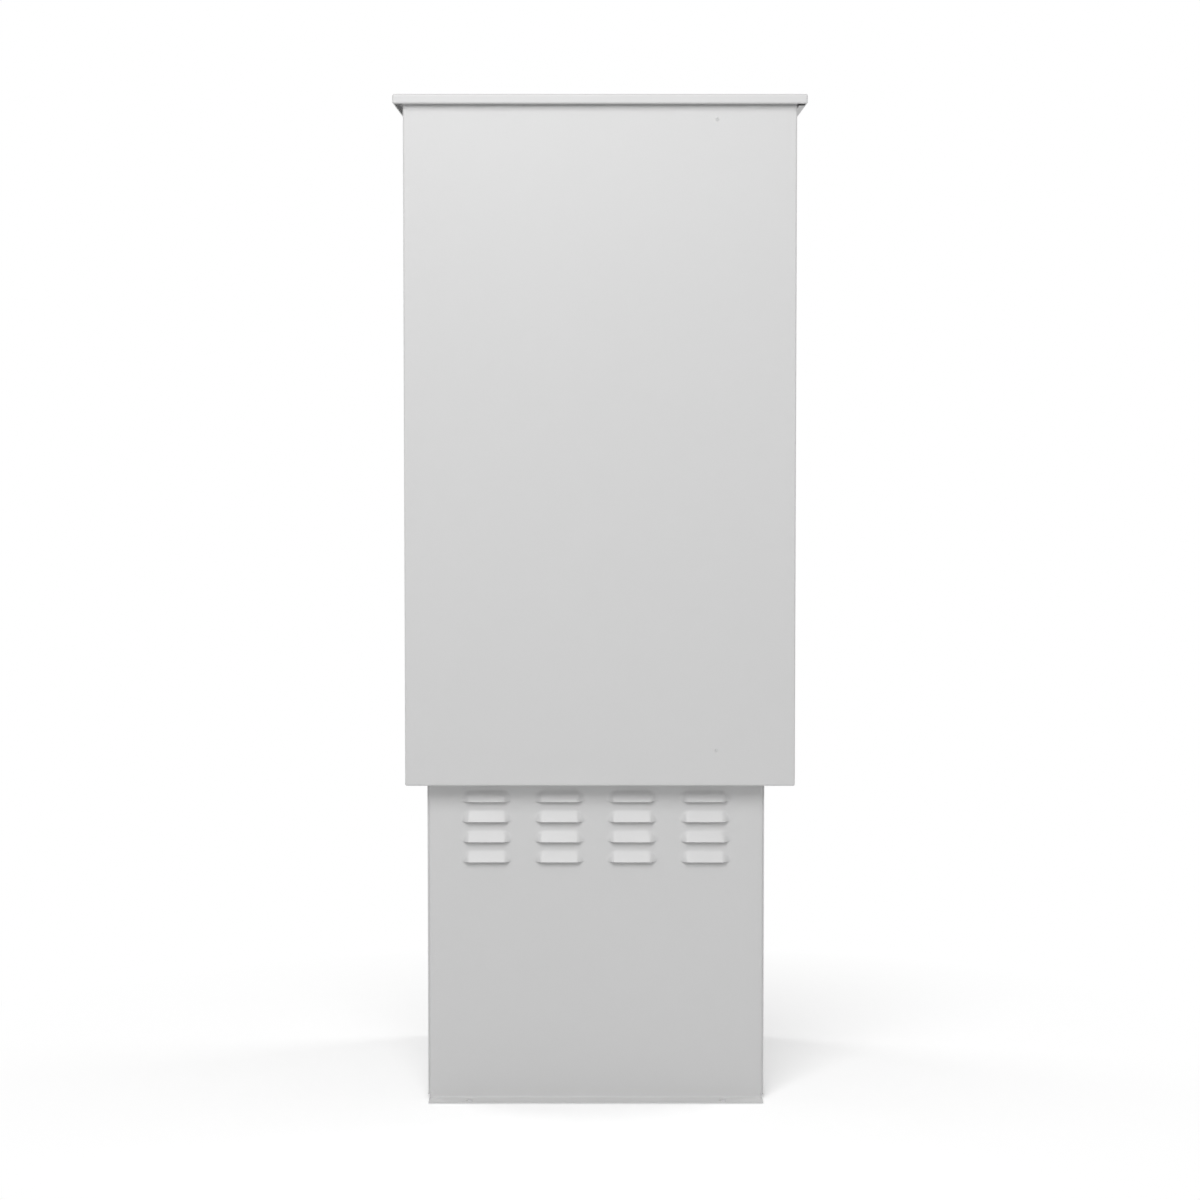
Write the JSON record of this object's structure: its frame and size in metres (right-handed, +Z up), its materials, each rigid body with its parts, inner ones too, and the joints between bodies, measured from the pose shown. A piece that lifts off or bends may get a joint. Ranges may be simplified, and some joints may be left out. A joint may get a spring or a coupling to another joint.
{
  "type": "network cabinet",
  "caption": "Outdoor network cabinet of folded sheet steel: plain body with an inset locking door, rack rails inside, flat rain roof and louvred plinth.",
  "frame": {"origin": "on the ground, in the middle of the four anchor holes of the base flanges", "axes": "+X out through the door, +Y to the right-hand wall as seen from the door, +Z up"},
  "size_m": [0.6905, 0.683, 1.6795],
  "materials": {
    "cabinet_paint": "fine-textured light grey powder coat",
    "zinc_sheet": "galvanised sheet",
    "zinc_fastener": "zinc plated",
    "bright_steel": "bright zinc-plated steel",
    "seal_foam": "closed-cell foam",
    "grommet_rubber": "matt moulded rubber",
    "bush_plastic": "moulded nylon",
    "lock_casting": "die-cast zinc",
    "handle_black": "black powder-coated die casting",
    "key_chrome": "polished",
    "earth_brass": "plain",
    "post_resin": "moulded insulator"
  },
  "bodies": {
    "cabinet": {"plinth_left_wall": "cabinet_paint", "plinth_right_wall": "cabinet_paint", "plinth_front_cover": "cabinet_paint", "plinth_rear_cover": "cabinet_paint", "body_wrap": "cabinet_paint", "door_frame": "cabinet_paint", "roof": "cabinet_paint", "bracket_rivets": "cabinet_paint", "floor_panel": "zinc_sheet", "gland_plate": "zinc_sheet", "rail_left": "zinc_sheet", "rail_right": "zinc_sheet", "rail_bracket_left_lower": "zinc_sheet", "rail_bracket_left_upper": "zinc_sheet", "rail_bracket_right_lower": "zinc_sheet", "rail_bracket_right_upper": "zinc_sheet", "plinth_cover_screws": "zinc_fastener", "plinth_bolts": "zinc_fastener", "plinth_nuts": "zinc_fastener", "gland_screws": "zinc_fastener", "roof_studs": "zinc_fastener", "roof_nuts": "zinc_fastener", "rail_bolts": "zinc_fastener", "rail_nuts": "zinc_fastener", "earth_screws": "zinc_fastener", "door_seal": "seal_foam", "roof_seal": "seal_foam", "gland_gasket": "seal_foam", "cable_grommets": "grommet_rubber", "hinge_bush_lower": "bush_plastic", "hinge_bush_upper": "bush_plastic", "earth_bar": "earth_brass", "earth_posts": "post_resin"},
    "door": {"door_panel": "cabinet_paint", "door_stiffener": "cabinet_paint", "hinge_block_lower": "bright_steel", "hinge_block_upper": "bright_steel", "hinge_pin_lower": "bright_steel", "hinge_pin_upper": "bright_steel", "lock_case": "lock_casting", "rod_guide_lower": "bush_plastic", "rod_guide_upper": "bush_plastic", "escutcheon": "handle_black", "escutcheon_screws": "zinc_fastener"},
    "handle": {"handle": "handle_black", "lock_cam": "bright_steel", "cam_screw": "zinc_fastener"},
    "key_barrel": {"key_plug": "key_chrome"},
    "lower_rod": {"rod_lower": "bright_steel"},
    "upper_rod": {"rod_upper": "bright_steel"}
  },
  "joints": [
    {"name": "door_swing", "type": "hinge", "parent": "cabinet", "child": "door", "pos_m": [0.3245, -0.286, 1.105], "axis": [0, 0, -1], "range_deg": [0, 120]},
    {"name": "handle_turn", "type": "hinge", "parent": "door", "child": "handle", "pos_m": [0.332, 0.225, 1.105], "axis": [1, 0, 0], "range_deg": [0, 90]},
    {"name": "key_turn", "type": "hinge", "parent": "handle", "child": "key_barrel", "pos_m": [0.356, 0.225, 1.105], "axis": [1, 0, 0], "range_deg": [0, 90]},
    {"name": "lower_rod_slide", "type": "slide", "parent": "door", "child": "lower_rod", "axis": [0, 0, -1], "range_m": [0, 0.018]},
    {"name": "upper_rod_slide", "type": "slide", "parent": "door", "child": "upper_rod", "axis": [0, 0, 1], "range_m": [0, 0.018]}
  ],
  "couplings": [
    {"joint": "lower_rod_slide", "follows": "handle_turn", "m_per_rad": 0.011459},
    {"joint": "upper_rod_slide", "follows": "handle_turn", "m_per_rad": 0.011459}
  ]
}
